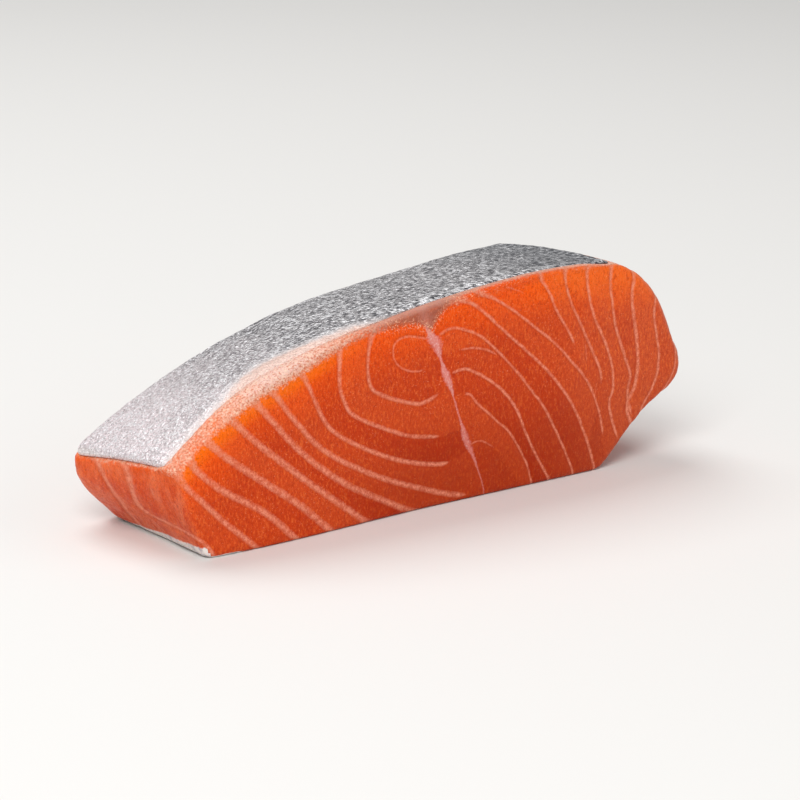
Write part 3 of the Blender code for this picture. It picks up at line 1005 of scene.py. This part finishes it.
class FILLET_OT_skin(bpy.types.Operator):
    """Make the silver skin"""

    bl_idname = "fillet.skin"
    bl_label = "Skin"

    def execute(self, context):
        values = context.scene.fillet_skin
        skin = copy_of("skin", "salmon_skin")
        subdivide(skin, 2)
        for _ in range(2):
            split_faces(skin, lambda face: face.normal.z > 0.45)
        self.finish_surface(skin, values)
        bpy.ops.object.shade_smooth()
        skin.data.materials.append(skin_material(values))
        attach(skin, "root")
        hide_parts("skin")
        return {"FINISHED"}

    def finish_surface(self, piece, values):
        """Thins the skin towards its front edge and the belly end, and gives it folds and a border."""
        points, normals = points_of(piece), normals_of(piece)
        x, facing_up = points[:, 0], normals[:, 2]
        along, fronts = front_edge(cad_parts["skin"])
        front = points[:, 1] - np.interp(x * MM, along, fronts) / MM
        end = x - x.min()
        upper = ease((facing_up - 0.3) / 0.4)
        under = ease((-facing_up - 0.3) / 0.3)
        border = front - np.interp(x, BORDER_AT, BORDER_WIDE) + 2.4 * ease((x + 18.0) / 18.0)
        glint = np.interp(x, GLINT_AT, GLINT_SHARE) * (1 - ease((front - 0.8) / 3.6))
        folds = self.folds(points, values)
        fatty = 1 - ease((border + 2.0) / 3.0)
        lift = values.ripple_height / MM * folds * (1 - fatty) + 0.10 * rough(points, 1.1, 9, 2) * fatty
        lift = (lift + 0.12 * rough(points, 12.0, 8)) * upper * ease(front / 0.8)
        points = points + normals * lift[:, None]
        belly = ease((8.0 - points[:, 0]) / 20.0)
        thinner = 0.56 * (1 - ease(front / mix(1.2, 3.2, belly))) + 0.45 * (1 - ease(end / 1.5))
        points[:, 2] -= np.minimum(thinner, 0.6) * upper + 0.34 * under
        place_points(piece, points)
        store(piece, "border_and_folds", border, folds, glint)
        store(piece, "edges", front, end)

    def folds(self, points, values):
        """From about -1 in the furrows to 1 on the crests of the fine folds."""
        pace = values.ripple_pace / MM
        sway = 1.6 * rough(points, (7.0, 6.0, 7.0), 4, 3) + 0.5 * rough(points, (2.6, 2.2, 2.6), 5, 2)
        across = points[:, 1] * cos(SKIN_GRAIN) - points[:, 0] * sin(SKIN_GRAIN)
        height = 0.5 + 0.5 * rough(points, (3.2, 2.0, 3.2), 6, 2)
        folds = np.sin((across / pace + sway) * 2 * np.pi) * height
        return 0.6 * folds + 0.7 * rough(points, (1.7, 1.1, 1.7), 7, 2)


class FILLET_OT_stage(bpy.types.Operator):
    """Make the floor, the lights and the camera"""

    bl_idname = "fillet.stage"
    bl_label = "Stage"

    def execute(self, context):
        values = context.scene.fillet_stage
        self.make_floor(values)
        target = Vector(values.target)
        for name, (place, size, power) in LIGHTS.items():
            self.make_light(name, place, target, size, power)
        world = bpy.data.worlds.new("studio")
        world.use_nodes = True
        world.node_tree.nodes["Background"].inputs["Color"].default_value = (1.0, 1.0, 1.0, 1.0)
        world.node_tree.nodes["Background"].inputs["Strength"].default_value = WORLD_STRENGTH
        context.scene.world = world
        context.scene.view_settings.view_transform = "Standard"
        self.make_camera(context, values, target)
        return {"FINISHED"}

    def make_floor(self, values):
        bpy.ops.mesh.primitive_plane_add(size=FLOOR_SIZE)
        floor = bpy.context.object
        floor.name = "floor"
        n = Nodes("floor")
        cloud = n.noise(n.millimetres((0.002, 0.002, 0.002)), 1.0, 2.0)
        tone = values.floor_colour
        darker = tuple(c * 0.96 for c in tone)
        n.give(n.shader.inputs["Base Color"], n.blend(n.times(cloud, 0.3), tone, darker))
        n.shader.inputs["Roughness"].default_value = 0.7
        floor.data.materials.append(n.material)

    def make_light(self, name, place, target, size, power):
        light = bpy.data.lights.new(name, "AREA")
        light.size = size
        light.energy = power
        thing = bpy.data.objects.new(name, light)
        bpy.context.scene.collection.objects.link(thing)
        thing.location = place
        thing.rotation_euler = (target - Vector(place)).to_track_quat("-Z", "Y").to_euler()

    def make_camera(self, context, values, target):
        camera = bpy.data.cameras.new("camera")
        camera.lens = values.lens
        camera.sensor_width = 36.0
        camera.clip_start = 0.01
        thing = bpy.data.objects.new("camera", camera)
        context.scene.collection.objects.link(thing)
        a, e = values.azimuth, values.elevation
        back = Vector((sin(a) * cos(e), -cos(a) * cos(e), sin(e)))
        thing.location = target + back * values.distance
        thing.rotation_euler = back.to_track_quat("Z", "Y").to_euler()
        context.scene.camera = thing


class FILLET_PT_panel(bpy.types.Panel):
    """The fillet's pieces and their settings"""

    bl_idname = "FILLET_PT_panel"
    bl_label = "Salmon Fillet"
    bl_space_type = "VIEW_3D"
    bl_region_type = "UI"
    bl_category = "Fillet"

    def draw(self, context):
        for operator, settings in zip(OPERATORS, GROUPS):
            self.layout.operator(operator.bl_idname)
            group = getattr(context.scene, settings)
            for key in group.__annotations__:
                self.layout.prop(group, key)


# Each group of settings belongs to the operator at the same place
GROUPS = {
    "fillet_flesh": FilletFleshSettings,
    "fillet_skin": FilletSkinSettings,
    "fillet_stage": FilletStageSettings,
}
OPERATORS = (FILLET_OT_flesh, FILLET_OT_skin, FILLET_OT_stage)
CLASSES = (*GROUPS.values(), *OPERATORS, FILLET_PT_panel)


def register():
    for cls in CLASSES:
        bpy.utils.register_class(cls)
    for name, group in GROUPS.items():
        setattr(bpy.types.Scene, name, bpy.props.PointerProperty(type=group))


def unregister():
    for name in GROUPS:
        delattr(bpy.types.Scene, name)
    for cls in reversed(CLASSES):
        bpy.utils.unregister_class(cls)


def main():
    register()
    bpy.ops.fillet.flesh()
    bpy.ops.fillet.skin()
    bpy.ops.fillet.stage()


if __name__ == "__main__":
    main()
